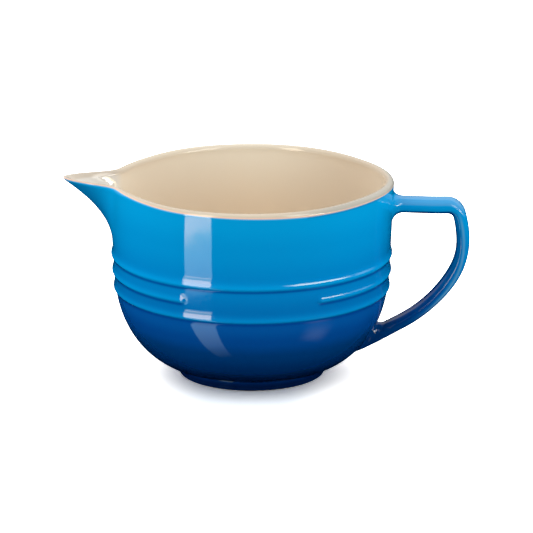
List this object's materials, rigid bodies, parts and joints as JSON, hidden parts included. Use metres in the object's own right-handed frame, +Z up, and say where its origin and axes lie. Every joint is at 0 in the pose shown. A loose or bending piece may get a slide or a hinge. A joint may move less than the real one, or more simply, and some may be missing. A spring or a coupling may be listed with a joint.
{
  "type": "batter bowl",
  "caption": "Round glazed stoneware mixing bowl with a pouring spout, a D-shaped strap handle, raised ribs round the belly and a foot ring.",
  "frame": {"origin": "under the middle of the whole object's box, on the plane that the foot ring stands on; the bowl's own axis is upright at X -9.1 mm", "axes": "+Z up, +X towards the handle, -X towards the spout, -Y towards the bare front band"},
  "size_m": [0.2424, 0.17, 0.1204],
  "materials": {
    "stoneware": "fired buff stoneware under the glaze",
    "bare_stoneware": "bare, matt, fired buff stoneware",
    "cream_glaze": "glossy cream glaze",
    "blue_glaze": "glossy blue glaze that fades from azure at the top to navy at the foot",
    "navy_glaze": "glossy navy glaze, the dark end of the fade"
  },
  "bodies": {
    "root": {"bowl_wall": "stoneware", "foot_ring": "bare_stoneware", "spout_wall": "stoneware", "handle_strap": "stoneware", "upper_join": "blue_glaze", "lower_join": "navy_glaze", "inner_glaze": "cream_glaze", "outer_glaze": "blue_glaze", "spout_inner_glaze": "cream_glaze", "spout_outer_glaze": "blue_glaze", "handle_glaze": "blue_glaze", "foot_glaze": "navy_glaze"}
  },
  "joints": []
}
